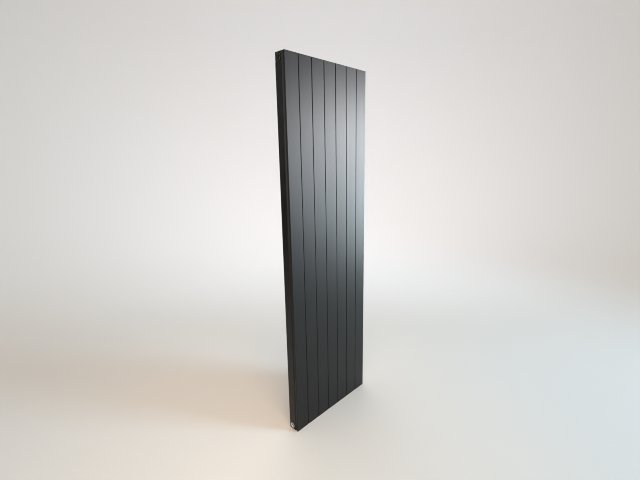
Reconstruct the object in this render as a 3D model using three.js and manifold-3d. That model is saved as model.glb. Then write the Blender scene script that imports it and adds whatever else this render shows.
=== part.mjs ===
// Vertical flat-panel radiator: extruded aluminium elements side by side, joined by a square collector tube at
// the bottom and one at the top. Millimetres, +Z up, the front faces -Y, the origin is under the middle.
import * as THREE from 'three';
import { mergeVertices } from 'three/addons/utils/BufferGeometryUtils.js';
import ManifoldModule from 'manifold-3d';

const manifold = await ManifoldModule();
manifold.setup();

// Overall
const HEIGHT = 1833;
const ELEMENT_COUNT = 7;
const ELEMENT_PITCH = 80;
const ELEMENT_GAP = 2; // the dark groove between two front faces
const SEAT_GAP = 0.3; // between pieces that touch face to face or fit in one another
const OVERCUT = 1; // how far a cutting tool runs past the piece

// Element section, depths measured back from the front face
const FACE_THICKNESS = 2.2;
const FACE_CORNER_RADIUS = 2.5;
const LIP_DEPTH = 8; // the front plate's turned-back edge
const LIP_WALL = 1.8;
const NOTCH_WIDTH = 4; // how far the shadow notch behind the lip goes in
const NOTCH_DEPTH = 4;
const SHOULDER_DEPTH = 18; // where the shoulder behind the notch reaches full width
const SIDE_WALL = 1.6;
const MID_WALL = 2;
const MID_WALL_SETBACK = 0.8; // mid wall's rear face behind the shoulder
const MILLING_DEPTH = 0.4; // taken off the mid wall in the end pockets
const COUNTERBORE_RADIUS = 14; // round the water tube's ends, where the nipples' collars sit
const REAR_LIP_WIDTH = 4;
const REAR_LIP_WALL = 1.6;
const TUBE_RADIUS = 12; // water tube
const TUBE_BORE_RADIUS = 9;
const FRONT_WEB = 3; // from the mid wall to the tube
const SIDE_WEB = 1.5; // from the side walls to the tube

// Collectors
const COLLECTOR_SIDE = 40;
const COLLECTOR_WALL = 2;
const COLLECTOR_CORNER_RADIUS = 2;
const COLLECTOR_FRONT_GAP = 0.6; // to the milled mid wall
const COLLECTOR_REAR_SETBACK = 1; // in from the elements' rear edges
const COLLECTOR_END_GAP = 0.5; // to the elements' milled ends
const END_PLATE_THICKNESS = 2;
const END_PLATE_INSET = 0.7; // in from the outer elements' side walls
const DIVERTER_THICKNESS = 1.5;
const DIVERTER_HOLE_RADIUS = 1.5;

// Nipples and gaskets between tubes and collectors
const NIPPLE_WALL = 1.7;
const NIPPLE_COLLAR = 2.5;
const NIPPLE_IN_TUBE = 12;
const NIPPLE_IN_COLLECTOR = 4; // past the collector's wall
const GASKET_THICKNESS = 1.6;
const GASKET_INSET = 0.5; // in from the collar's edge

// Connection bushes (pipe thread), and what closes the two upper ones
const BUSH_RADIUS = 13.5;
const BUSH_BORE_RADIUS = 9.5;
const BUSH_LENGTH = 16;
const BUSH_PROUD = 1; // past the outer elements' side walls
const BUSH_CHAMFER = 0.8;
const O_RING_THICKNESS = 1.2;
const O_RING_WIDTH = 2.2;
const FLANGE_THICKNESS = 1.6;
const FLANGE_OVERHANG = 4.3; // past the bush's bore, so that the flange covers the bush
const PLUG_THREAD_LENGTH = 11;
const FITTING_HEAD = 8; // how far the plug and the vent stand out of their bushes
const PLUG_ACROSS_FLATS = 17;
const PLUG_CORNER_CHAMFER = 1;
const PLUG_SOCKET_RADIUS = 4.5;
const PLUG_SOCKET_DEPTH = 3;
const VENT_BOSS_RADIUS = 6.5;
const VENT_BOSS_SETBACK = 0.6; // in from the fitting's outer end
const VENT_RECESS_RADIUS = 4.4; // round the bleed screw's head
const VENT_RECESS_DEPTH = 4;
const VENT_DRILLING_RADIUS = 0.8; // lets the air out into the spout
const SCREW_RADIUS = 3;
const SCREW_CLEARANCE = 0.1;
const SCREW_HEAD_SIDE = 5; // the key's square
const SCREW_SLOT = 1;
const SCREW_SHANK = 8;
const SCREW_TIP = 2;
const SPOUT_CLEARANCE = 0.1;
const SPOUT_WALL = 2.2;
const SPOUT_NOZZLE_RADIUS = 1.4;
const SPOUT_NOZZLE_BORE = 0.7;
const SPOUT_NOZZLE_REACH = 4.5; // past the ring

const FINE = 32; // facets round what can be seen
const COARSE = 16; // facets round what is hidden inside

// Places that follow from the sizes above
const ELEMENT_WIDTH = ELEMENT_PITCH - ELEMENT_GAP;
const SIDE_FACE_X = (ELEMENT_COUNT * ELEMENT_PITCH - ELEMENT_GAP) / 2;
const MID_WALL_REAR = SHOULDER_DEPTH + MID_WALL_SETBACK;
const POCKET_FRONT = MID_WALL_REAR - MILLING_DEPTH;
const COLLECTOR_FRONT = POCKET_FRONT + COLLECTOR_FRONT_GAP;
const TUBE_DEPTH = COLLECTOR_FRONT + COLLECTOR_SIDE / 2;
const DEPTH = COLLECTOR_FRONT + COLLECTOR_SIDE + COLLECTOR_REAR_SETBACK;
const JOINT_HEIGHT = SEAT_GAP + GASKET_THICKNESS + SEAT_GAP + NIPPLE_COLLAR + SEAT_GAP;
const POCKET_HEIGHT = COLLECTOR_SIDE + COLLECTOR_END_GAP;
const COUNTERBORE_HEIGHT = COLLECTOR_SIDE + JOINT_HEIGHT;
const END_PLATE_X = SIDE_FACE_X - END_PLATE_INSET;
const COLLECTOR_HALF_LENGTH = END_PLATE_X - END_PLATE_THICKNESS - SEAT_GAP;
const BUSH_FACE_X = SIDE_FACE_X + BUSH_PROUD;
const NIPPLE_RADIUS = TUBE_BORE_RADIUS - SEAT_GAP;
const AXIS_Y = TUBE_DEPTH - DEPTH / 2;
const BOTTOM_Z = COLLECTOR_SIDE / 2;
const TOP_Z = HEIGHT - COLLECTOR_SIDE / 2;
const elementX = (n) => (n - (ELEMENT_COUNT + 1) / 2) * ELEMENT_PITCH;

// Finishes
const powderCoat = new THREE.MeshStandardMaterial({ color: 0x1c1c1d, roughness: 0.42, metalness: 0.1 });
const nickel = new THREE.MeshStandardMaterial({ color: 0xc9c4bb, roughness: 0.28, metalness: 1 });
const blackFitting = new THREE.MeshStandardMaterial({ color: 0x151515, roughness: 0.4, metalness: 0.3 });
const brass = new THREE.MeshStandardMaterial({ color: 0xb89a5a, roughness: 0.3, metalness: 1 });
const millAluminium = new THREE.MeshStandardMaterial({ color: 0xa9abad, roughness: 0.4, metalness: 0.9 });
const rubber = new THREE.MeshStandardMaterial({ color: 0x101010, roughness: 0.8, metalness: 0 });
const blackPlastic = new THREE.MeshStandardMaterial({ color: 0x1a1a1a, roughness: 0.6, metalness: 0 });

// Booleans: three.js geometry in and out, manifold-3d in between
function solid(geometry) {
  const bare = geometry.clone();
  bare.deleteAttribute('normal');
  bare.deleteAttribute('uv');
  const welded = mergeVertices(bare, 1e-4);
  const mesh = new manifold.Mesh({
    numProp: 3,
    vertProperties: Float32Array.from(welded.attributes.position.array),
    triVerts: Uint32Array.from(welded.index.array),
  });
  return new manifold.Manifold(mesh);
}

function geometryOf(body) {
  const mesh = body.getMesh();
  const geometry = new THREE.BufferGeometry();
  geometry.setAttribute('position', new THREE.BufferAttribute(Float32Array.from(mesh.vertProperties), 3));
  geometry.setIndex(new THREE.BufferAttribute(Uint32Array.from(mesh.triVerts), 1));
  const faceted = geometry.toNonIndexed();
  faceted.computeVertexNormals();
  return faceted;
}

const cut = (base, ...tools) => geometryOf(tools.reduce((body, tool) => body.subtract(solid(tool)), solid(base)));
const join = (base, ...more) => geometryOf(more.reduce((body, other) => body.add(solid(other)), solid(base)));

// Points of an arc in a section, from one angle to another in degrees
function arc(centreX, centreY, radius, from, to, facets) {
  return Array.from({ length: facets + 1 }, (_, i) => {
    const angle = THREE.MathUtils.degToRad(from + ((to - from) * i) / facets);
    return new THREE.Vector2(centreX + radius * Math.cos(angle), centreY + radius * Math.sin(angle));
  });
}

const circle = (centreX, centreY, radius, facets) => arc(centreX, centreY, radius, 0, 360, facets).slice(0, -1);
const mirrored = (points) => points.map((p) => new THREE.Vector2(-p.x, p.y)).reverse();
const point = (x, y) => new THREE.Vector2(x, y);
const numbers = (count) => Array.from({ length: count }, (_, i) => i + 1);

function extruded(outline, holes, length) {
  const shape = new THREE.Shape(outline);
  shape.holes = holes.map((points) => new THREE.Path(points));
  return new THREE.ExtrudeGeometry(shape, { depth: length, bevelEnabled: false });
}

// A turned piece about +Z, from [radius, height] pairs that run up the outside and down the inside
function turned(pairs, facets) {
  const profile = [...pairs, pairs[0]].map(([radius, height]) => new THREE.Vector2(radius, height));
  return new THREE.LatheGeometry(profile, facets).rotateX(Math.PI / 2);
}

const rod = (radius, length, facets) => new THREE.CylinderGeometry(radius, radius, length, facets).rotateX(Math.PI / 2);

function named(name, geometry, material, x = 0, y = 0, z = 0) {
  const mesh = new THREE.Mesh(geometry, material);
  mesh.name = name;
  mesh.position.set(x, y, z);
  return mesh;
}

// Element: front plate with rounded corners and turned-back lips, a shadow notch, a sloping shoulder, closed side
// walls, and the water tube held by webs. The front chamber and the two channels beside the tube are air shafts.
function elementSection() {
  const half = ELEMENT_WIDTH / 2;
  const neck = half - NOTCH_WIDTH;
  const notchEnd = LIP_DEPTH + NOTCH_DEPTH;
  const slope = NOTCH_WIDTH / (SHOULDER_DEPTH - notchEnd);
  const midWallFront = MID_WALL_REAR - MID_WALL;
  const slopeInnerX = (depth) => neck - LIP_WALL * Math.hypot(1, slope) + slope * (depth - notchEnd);
  const neckInner = neck - LIP_WALL;
  const neckInnerEnd = notchEnd + (neckInner - slopeInnerX(notchEnd)) / slope;
  const webRear = TUBE_DEPTH + SIDE_WEB / 2;
  const webFront = TUBE_DEPTH - SIDE_WEB / 2;
  const webAngle = THREE.MathUtils.radToDeg(Math.asin(SIDE_WEB / 2 / TUBE_RADIUS));
  const frontAngle = THREE.MathUtils.radToDeg(Math.asin(FRONT_WEB / 2 / TUBE_RADIUS));

  const rightSide = [
    point(half - REAR_LIP_WIDTH, DEPTH),
    point(half, DEPTH),
    point(half, SHOULDER_DEPTH),
    point(neck, notchEnd),
    point(neck, LIP_DEPTH),
    point(half, LIP_DEPTH),
    ...arc(half - FACE_CORNER_RADIUS, FACE_CORNER_RADIUS, FACE_CORNER_RADIUS, 0, -90, 4),
  ];
  const rearHollow = [
    point(-half + REAR_LIP_WIDTH, DEPTH - REAR_LIP_WALL),
    point(-half + SIDE_WALL, DEPTH - REAR_LIP_WALL),
    point(-half + SIDE_WALL, webRear),
    ...arc(0, TUBE_DEPTH, TUBE_RADIUS, 180 - webAngle, webAngle, COARSE / 2),
    point(half - SIDE_WALL, webRear),
    point(half - SIDE_WALL, DEPTH - REAR_LIP_WALL),
    point(half - REAR_LIP_WIDTH, DEPTH - REAR_LIP_WALL),
  ];
  const chamberRight = [
    point(half - LIP_WALL, FACE_THICKNESS),
    point(half - LIP_WALL, LIP_DEPTH - LIP_WALL),
    point(neckInner, LIP_DEPTH - LIP_WALL),
    point(neckInner, neckInnerEnd),
    point(slopeInnerX(midWallFront), midWallFront),
  ];
  const shaftRight = [
    point(FRONT_WEB / 2, MID_WALL_REAR),
    point(half - SIDE_WALL, MID_WALL_REAR),
    point(half - SIDE_WALL, webFront),
    ...arc(0, TUBE_DEPTH, TUBE_RADIUS, -webAngle, -90 + frontAngle, COARSE / 4),
  ];
  return {
    outline: [...rightSide, ...mirrored(rightSide), ...rearHollow],
    shafts: [
      [...chamberRight, ...mirrored(chamberRight)],
      shaftRight,
      mirrored(shaftRight),
      circle(0, TUBE_DEPTH, TUBE_BORE_RADIUS, COARSE),
    ],
  };
}

// The rear of each end is milled away, leaving the front chamber, so that the collectors fit behind it, and the
// water tube's ends are counterbored for the nipples
function element() {
  const { outline, shafts } = elementSection();
  const bar = extruded(outline, [], HEIGHT);
  const hollows = shafts.map((points) => extruded(points, [], HEIGHT + 2 * OVERCUT).translate(0, 0, -OVERCUT));
  const pocketDepth = DEPTH - POCKET_FRONT + OVERCUT;
  const pocket = new THREE.BoxGeometry(ELEMENT_WIDTH + 2 * OVERCUT, pocketDepth, 2 * POCKET_HEIGHT);
  pocket.translate(0, POCKET_FRONT + pocketDepth / 2, 0);
  const counterbore = rod(COUNTERBORE_RADIUS, 2 * COUNTERBORE_HEIGHT, COARSE).translate(0, TUBE_DEPTH, 0);
  const endTools = [pocket, counterbore];
  return cut(bar, ...hollows, ...endTools, ...endTools.map((tool) => tool.clone().translate(0, 0, HEIGHT)));
}

function square(side, radius) {
  const reach = side / 2 - radius;
  return [
    ...arc(reach, reach, radius, 0, 90, 3),
    ...arc(-reach, reach, radius, 90, 180, 3),
    ...arc(-reach, -reach, radius, 180, 270, 3),
    ...arc(reach, -reach, radius, 270, 360, 3),
  ];
}

// Collector: square tube along X with one hole for each nipple, on the side that faces the elements
function collector(facing) {
  const bore = COLLECTOR_SIDE - 2 * COLLECTOR_WALL;
  const length = 2 * COLLECTOR_HALF_LENGTH;
  const bar = extruded(square(COLLECTOR_SIDE, COLLECTOR_CORNER_RADIUS), [], length);
  bar.translate(0, 0, -length / 2).rotateY(Math.PI / 2);
  const inside = new THREE.BoxGeometry(length + 2 * OVERCUT, bore, bore);
  const drills = numbers(ELEMENT_COUNT).map((n) =>
    rod(NIPPLE_RADIUS + SEAT_GAP, 4 * COLLECTOR_WALL, COARSE).translate(elementX(n), 0, (facing * COLLECTOR_SIDE) / 2),
  );
  return cut(bar, inside, ...drills);
}

// Nipple: a sleeve from the collector into the tube, with a collar under the tube's end. Height 0 is the
// collector's face.
function nipple() {
  const collarFrom = SEAT_GAP + GASKET_THICKNESS + SEAT_GAP;
  const collarTo = collarFrom + NIPPLE_COLLAR;
  const bottom = -COLLECTOR_WALL - NIPPLE_IN_COLLECTOR;
  const top = collarTo + NIPPLE_IN_TUBE;
  return turned(
    [
      [NIPPLE_RADIUS, bottom],
      [NIPPLE_RADIUS, collarFrom],
      [TUBE_RADIUS, collarFrom],
      [TUBE_RADIUS, collarTo],
      [NIPPLE_RADIUS, collarTo],
      [NIPPLE_RADIUS, top],
      [NIPPLE_RADIUS - NIPPLE_WALL, top],
      [NIPPLE_RADIUS - NIPPLE_WALL, bottom],
    ],
    COARSE,
  );
}

function washer(inner, outer, from, to, facets) {
  return turned(
    [
      [outer, from],
      [outer, to],
      [inner, to],
      [inner, from],
    ],
    facets,
  );
}

const gasket = () =>
  washer(NIPPLE_RADIUS + SEAT_GAP, TUBE_RADIUS - GASKET_INSET, SEAT_GAP, SEAT_GAP + GASKET_THICKNESS, COARSE);

function endPlate() {
  const hole = circle(0, 0, BUSH_RADIUS + SEAT_GAP, FINE);
  return extruded(square(COLLECTOR_SIDE, COLLECTOR_CORNER_RADIUS), [hole], END_PLATE_THICKNESS);
}

function diverter() {
  const side = COLLECTOR_SIDE - 2 * COLLECTOR_WALL - 2 * SEAT_GAP;
  const hole = circle(0, 0, DIVERTER_HOLE_RADIUS, COARSE);
  const plate = extruded(square(side, COLLECTOR_CORNER_RADIUS), [hole], DIVERTER_THICKNESS);
  return plate.translate(0, 0, -DIVERTER_THICKNESS / 2);
}

// Bushes and fittings stand on +Z, with height 0 at the bush's outer face
function bush() {
  return turned(
    [
      [BUSH_RADIUS, -BUSH_LENGTH],
      [BUSH_RADIUS, -BUSH_CHAMFER],
      [BUSH_RADIUS - BUSH_CHAMFER, 0],
      [BUSH_BORE_RADIUS + BUSH_CHAMFER, 0],
      [BUSH_BORE_RADIUS, -BUSH_CHAMFER],
      [BUSH_BORE_RADIUS, -BUSH_LENGTH],
    ],
    FINE,
  );
}

const FLANGE_FROM = SEAT_GAP + O_RING_THICKNESS + SEAT_GAP;
const FLANGE_TO = FLANGE_FROM + FLANGE_THICKNESS;
const FLANGE_RADIUS = BUSH_BORE_RADIUS + FLANGE_OVERHANG;
const THREAD_RADIUS = BUSH_BORE_RADIUS - SEAT_GAP;

function sealRing() {
  const inner = BUSH_BORE_RADIUS + BUSH_CHAMFER / 4;
  return washer(inner, inner + O_RING_WIDTH, SEAT_GAP, SEAT_GAP + O_RING_THICKNESS, FINE);
}

function blankingPlug() {
  const stem = turned(
    [
      [0, -PLUG_THREAD_LENGTH],
      [THREAD_RADIUS, -PLUG_THREAD_LENGTH],
      [THREAD_RADIUS, FLANGE_FROM],
      [FLANGE_RADIUS, FLANGE_FROM],
      [FLANGE_RADIUS, FLANGE_TO],
      [0, FLANGE_TO],
    ],
    FINE,
  );
  const tip = PLUG_ACROSS_FLATS / Math.sqrt(3);
  const head = new THREE.CylinderGeometry(tip, tip, FITTING_HEAD - FLANGE_THICKNESS, 6).rotateX(Math.PI / 2);
  head.translate(0, 0, (FITTING_HEAD + FLANGE_THICKNESS) / 2);
  const crown = turned(
    [
      [0, 0],
      [tip + PLUG_CORNER_CHAMFER, 0],
      [tip + PLUG_CORNER_CHAMFER, FITTING_HEAD - 2 * PLUG_CORNER_CHAMFER],
      [tip - 2 * PLUG_CORNER_CHAMFER, FITTING_HEAD + PLUG_CORNER_CHAMFER],
      [0, FITTING_HEAD + PLUG_CORNER_CHAMFER],
    ],
    FINE,
  );
  const chamfered = geometryOf(solid(head).intersect(solid(crown)));
  const socket = new THREE.CylinderGeometry(PLUG_SOCKET_RADIUS, PLUG_SOCKET_RADIUS, 2 * PLUG_SOCKET_DEPTH, 6);
  return cut(join(stem, chamfered), socket.rotateX(Math.PI / 2).translate(0, 0, FITTING_HEAD));
}

const BOSS_TOP = FITTING_HEAD - VENT_BOSS_SETBACK;
const RECESS_FLOOR = BOSS_TOP - VENT_RECESS_DEPTH;

function ventBody() {
  const bore = SCREW_RADIUS + SCREW_CLEARANCE;
  const body = turned(
    [
      [THREAD_RADIUS, -PLUG_THREAD_LENGTH],
      [THREAD_RADIUS, FLANGE_FROM],
      [FLANGE_RADIUS, FLANGE_FROM],
      [FLANGE_RADIUS, FLANGE_TO],
      [VENT_BOSS_RADIUS, FLANGE_TO],
      [VENT_BOSS_RADIUS, BOSS_TOP],
      [VENT_RECESS_RADIUS, BOSS_TOP],
      [VENT_RECESS_RADIUS, RECESS_FLOOR],
      [bore, RECESS_FLOOR],
      [bore, -PLUG_THREAD_LENGTH],
    ],
    FINE,
  );
  const drilling = new THREE.CylinderGeometry(VENT_DRILLING_RADIUS, VENT_DRILLING_RADIUS, VENT_BOSS_RADIUS, 8);
  return cut(body, drilling.translate(0, VENT_BOSS_RADIUS, (FLANGE_TO + BOSS_TOP) / 2));
}

// Bleed screw: shank with a pointed tip, and a slotted square head for the radiator key
function bleedScrew() {
  const headFrom = RECESS_FLOOR + SEAT_GAP;
  const shank = turned(
    [
      [0, headFrom - SCREW_SHANK - SCREW_TIP],
      [SCREW_RADIUS / 3, headFrom - SCREW_SHANK - SCREW_TIP],
      [SCREW_RADIUS, headFrom - SCREW_SHANK],
      [SCREW_RADIUS, headFrom + OVERCUT],
      [0, headFrom + OVERCUT],
    ],
    FINE,
  );
  const headLength = FITTING_HEAD - headFrom;
  const head = new THREE.BoxGeometry(SCREW_HEAD_SIDE, SCREW_HEAD_SIDE, headLength);
  head.translate(0, 0, headFrom + headLength / 2);
  const slot = new THREE.BoxGeometry(SCREW_HEAD_SIDE + 2 * OVERCUT, SCREW_SLOT, 2 * SCREW_SLOT);
  return cut(join(shank, head), slot.translate(0, 0, FITTING_HEAD));
}

// Spout: a ring that turns on the vent's boss, with a small nozzle that points away from it
function ventSpout() {
  const inner = (VENT_BOSS_RADIUS + SPOUT_CLEARANCE) / Math.cos(Math.PI / FINE);
  const outer = inner + SPOUT_WALL;
  const from = FLANGE_TO + SEAT_GAP;
  const middle = (from + BOSS_TOP) / 2;
  const ring = washer(inner, outer, from, BOSS_TOP, FINE);
  const reach = SPOUT_WALL / 2 + SPOUT_NOZZLE_REACH;
  const nozzle = new THREE.CylinderGeometry(SPOUT_NOZZLE_RADIUS, SPOUT_NOZZLE_RADIUS, reach, COARSE);
  nozzle.translate(0, outer - SPOUT_WALL / 2 + reach / 2, middle);
  const passage = new THREE.CylinderGeometry(SPOUT_NOZZLE_BORE, SPOUT_NOZZLE_BORE, 4 * reach, 8);
  return cut(join(ring, nozzle), passage.translate(0, inner / 2 + 2 * reach, middle));
}

// A corner of the radiator: everything on the axis of one connection, facing out at the left or the right, with
// what was made along +Y pointing down
function corner(side, z, ...pieces) {
  const holder = new THREE.Group();
  holder.position.set(side * BUSH_FACE_X, AXIS_Y, z);
  holder.rotation.set(0, (side * Math.PI) / 2, (-side * Math.PI) / 2, 'YXZ');
  holder.add(...pieces);
  return holder;
}

const group = new THREE.Group();
const elementGeometry = element();
const nippleGeometry = nipple();
const gasketGeometry = gasket();
for (const n of numbers(ELEMENT_COUNT)) {
  group.add(named(`element_${n}`, elementGeometry, powderCoat, elementX(n), -DEPTH / 2, 0));
  group.add(named(`nipple_bottom_${n}`, nippleGeometry, brass, elementX(n), AXIS_Y, COLLECTOR_SIDE));
  group.add(named(`gasket_bottom_${n}`, gasketGeometry, rubber, elementX(n), AXIS_Y, COLLECTOR_SIDE));
  const upperJoint = new THREE.Group();
  upperJoint.position.set(elementX(n), AXIS_Y, HEIGHT - COLLECTOR_SIDE);
  upperJoint.rotation.x = Math.PI;
  upperJoint.add(named(`nipple_top_${n}`, nippleGeometry, brass));
  upperJoint.add(named(`gasket_top_${n}`, gasketGeometry, rubber));
  group.add(upperJoint);
}
group.add(named('collector_bottom', collector(1), powderCoat, 0, AXIS_Y, BOTTOM_Z));
group.add(named('collector_top', collector(-1), powderCoat, 0, AXIS_Y, TOP_Z));

const diverterMesh = named('flow_diverter', diverter(), millAluminium);
diverterMesh.position.set((elementX(1) + elementX(2)) / 2, AXIS_Y, BOTTOM_Z);
diverterMesh.rotation.y = Math.PI / 2;
group.add(diverterMesh);

const plateAt = SIDE_FACE_X - BUSH_FACE_X - END_PLATE_INSET - END_PLATE_THICKNESS;
const plate = (name) => named(name, endPlate(), powderCoat, 0, 0, plateAt);
group.add(
  corner(-1, BOTTOM_Z, plate('end_plate_bottom_left'), named('bush_bottom_left', bush(), nickel)),
  corner(1, BOTTOM_Z, plate('end_plate_bottom_right'), named('bush_bottom_right', bush(), nickel)),
  corner(
    -1,
    TOP_Z,
    plate('end_plate_top_left'),
    named('bush_top_left', bush(), nickel),
    named('plug_o_ring', sealRing(), rubber),
    named('blanking_plug', blankingPlug(), blackFitting),
  ),
  corner(
    1,
    TOP_Z,
    plate('end_plate_top_right'),
    named('bush_top_right', bush(), nickel),
    named('vent_o_ring', sealRing(), rubber),
    named('vent_body', ventBody(), blackFitting),
    named('bleed_screw', bleedScrew(), brass),
    named('vent_spout', ventSpout(), blackPlastic),
  ),
);

export default group;
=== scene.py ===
"""A tall flat-panel radiator in satin black, standing on a pale studio floor.

Seven extruded aluminium elements stand side by side on two square collector tubes, with pipe sockets at the
bottom, a blanking plug and an air vent at the top. Lengths are metres, x to the right, y to the back, z up.
"""

import math

import bmesh
import bpy
import numpy as np
from mathutils import Matrix, Vector
from mathutils.geometry import tessellate_polygon


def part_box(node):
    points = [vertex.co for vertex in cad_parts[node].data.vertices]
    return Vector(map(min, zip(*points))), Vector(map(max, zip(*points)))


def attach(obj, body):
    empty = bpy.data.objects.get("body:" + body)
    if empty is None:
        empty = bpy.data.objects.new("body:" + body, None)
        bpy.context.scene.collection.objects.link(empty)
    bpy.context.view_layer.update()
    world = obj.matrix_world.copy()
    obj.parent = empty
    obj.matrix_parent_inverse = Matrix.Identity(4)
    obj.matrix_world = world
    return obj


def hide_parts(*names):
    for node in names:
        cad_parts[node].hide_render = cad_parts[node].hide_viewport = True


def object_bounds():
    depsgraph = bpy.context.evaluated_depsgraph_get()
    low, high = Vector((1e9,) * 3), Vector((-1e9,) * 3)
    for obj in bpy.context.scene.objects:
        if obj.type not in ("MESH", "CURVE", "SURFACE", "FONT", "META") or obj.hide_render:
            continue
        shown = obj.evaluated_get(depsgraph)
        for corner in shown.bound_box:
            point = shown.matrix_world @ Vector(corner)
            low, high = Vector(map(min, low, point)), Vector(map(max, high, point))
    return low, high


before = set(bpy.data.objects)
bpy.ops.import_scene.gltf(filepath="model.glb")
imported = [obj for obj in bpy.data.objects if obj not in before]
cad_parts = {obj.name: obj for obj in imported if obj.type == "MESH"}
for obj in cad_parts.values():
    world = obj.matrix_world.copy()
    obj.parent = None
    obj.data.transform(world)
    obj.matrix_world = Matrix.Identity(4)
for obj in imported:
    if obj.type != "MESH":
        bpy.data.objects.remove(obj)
cad_low, cad_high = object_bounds()
ROOT = "radiator"

# ------------------------------------------------------------------------------------------------------------
# The studio: a pale floor that curves up into a round wall, cards at the right that the flat fronts mirror,
# cloths at the left that the side mirrors, soft boxes that light floor and wall, and the camera.

CAMERA_PLACE = (-1.3311, -1.2366, 1.3813)
CAMERA_YAW = 0.801
CAMERA_PITCH = 0.219
CAMERA_ROLL = -0.018
CAMERA_LENS = 19.97


def place_camera():
    """Looks along yaw (from +y towards +x) and pitch (down), then rolls about the line of sight."""
    yaw, pitch, roll = CAMERA_YAW, CAMERA_PITCH, CAMERA_ROLL
    ahead = Vector((math.sin(yaw) * math.cos(pitch), math.cos(yaw) * math.cos(pitch), -math.sin(pitch)))
    right = Vector((math.cos(yaw), -math.sin(yaw), 0))
    up = right.cross(ahead)
    side = math.cos(roll) * right + math.sin(roll) * up
    top = -math.sin(roll) * right + math.cos(roll) * up
    camera = bpy.data.objects.new("camera", bpy.data.cameras.new("camera"))
    camera.data.lens = CAMERA_LENS
    camera.data.sensor_width = 36
    camera.data.clip_start = 0.02
    turned_to = Matrix((side, top, -ahead)).transposed().to_4x4()
    camera.matrix_world = Matrix.Translation(CAMERA_PLACE) @ turned_to
    bpy.context.scene.collection.objects.link(camera)
    bpy.context.scene.camera = camera


class Wire:
    """A number from a node's socket. Adding, subtracting, multiplying and dividing wires adds Math nodes."""

    def __init__(self, finish, socket):
        self.finish = finish
        self.socket = socket

    def _with(self, operation, first, second):
        return self.finish.node("Math", {"operation": operation}, {0: first, 1: second})

    def __add__(self, other):
        return self._with("ADD", self, other)

    def __radd__(self, other):
        return self._with("ADD", other, self)

    def __sub__(self, other):
        return self._with("SUBTRACT", self, other)

    def __rsub__(self, other):
        return self._with("SUBTRACT", other, self)

    def __mul__(self, other):
        return self._with("MULTIPLY", self, other)

    def __rmul__(self, other):
        return self._with("MULTIPLY", other, self)

    def __truediv__(self, other):
        return self._with("DIVIDE", self, other)

    def __rtruediv__(self, other):
        return self._with("DIVIDE", other, self)


class Finish:
    """A material: its shader, with constants set on the shader's own sockets, and the nodes that vary it."""

    def __init__(self, name, **constants):
        self.material = bpy.data.materials.new(name)
        self.material.use_nodes = True
        self.tree = self.material.node_tree
        self.shader = self.tree.nodes["Principled BSDF"]
        for key, value in constants.items():
            self.shader.inputs[key.replace("_", " ").title().replace("Ior", "IOR")].default_value = value

    def node(self, kind, settings=None, values=None, output=0):
        """One node of a kind: its settings are made first, then its sockets take values or wires."""
        made = self.tree.nodes.new("ShaderNode" + kind)
        for key, value in (settings or {}).items():
            if key == "stops":
                self._set_stops(made.color_ramp, value)
            else:
                setattr(made, key, value)
        for key, value in (values or {}).items():
            self.feed(made.inputs[key], value)
        return Wire(self, made.outputs[output])

    def _set_stops(self, ramp, stops):
        while len(ramp.elements) > 2:
            ramp.elements.remove(ramp.elements[-1])
        while len(ramp.elements) < len(stops):
            ramp.elements.new(0.5)
        for element, (position, colour) in zip(ramp.elements, stops):
            element.position = position
            element.color = colour

    def feed(self, socket, value):
        """Links a wire to a socket, or sets the socket to a plain value."""
        if isinstance(value, Wire):
            self.tree.links.new(value.socket, socket)
        else:
            socket.default_value = value

    def vary(self, **wires):
        """Feeds the shader's own sockets, such as Base_Color or Roughness."""
        for key, wire in wires.items():
            self.feed(self.shader.inputs[key.replace("_", " ")], wire)

    def place(self):
        """The point on the piece, in the piece's own coordinates."""
        return self.node("TexCoord", output="Object")

    def noise(self, scale, detail=2.0, roughness=0.5, stretch=(1, 1, 1)):
        """Noise of a number of cycles per metre, from 0 to 1, stretched by a factor along each axis."""
        spot = self.node("Mapping", values={"Vector": self.place(), "Scale": stretch})
        values = {"Vector": spot, "Scale": scale, "Detail": detail, "Roughness": roughness}
        return self.node("TexNoise", values=values)

    def mix(self, factor, first, second):
        """One colour blended into another, through a Mix node."""
        values = {"Factor": factor, "A": first, "B": second}
        return self.node("Mix", {"data_type": "RGBA"}, values, output="Result")

    def bump(self, height, distance, strength=1.0):
        """Relief from a height between 0 and 1, of a distance in metres."""
        values = {"Height": height, "Distance": distance, "Strength": strength}
        self.vary(Normal=self.node("Bump", values=values))


SMOOTH_ANGLE = 35
MERGE_DISTANCE = 2e-6
LEAST_EDGE = 1e-7


def grid_mesh(
    name, points, around=False, finish=None, smooth_deg=SMOOTH_ANGLE, inner_finish=None, inner_faces=None
):
    """A surface from an array of points, rows by columns by xyz, faced by quads. around joins the last column
    to the first. A first or last row gathered in one point becomes a pole."""
    rows, columns = points.shape[:2]
    last_column = columns if around else columns - 1
    row, column = np.meshgrid(np.arange(rows - 1), np.arange(last_column), indexing="ij")
    beside = (column + 1) % columns
    here, above = row * columns, (row + 1) * columns
    quads = np.stack([here + column, here + beside, above + beside, above + column], axis=-1).reshape(-1, 4)
    return make_piece(name, points.reshape(-1, 3), quads, finish, smooth_deg, inner_finish, inner_faces)


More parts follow.
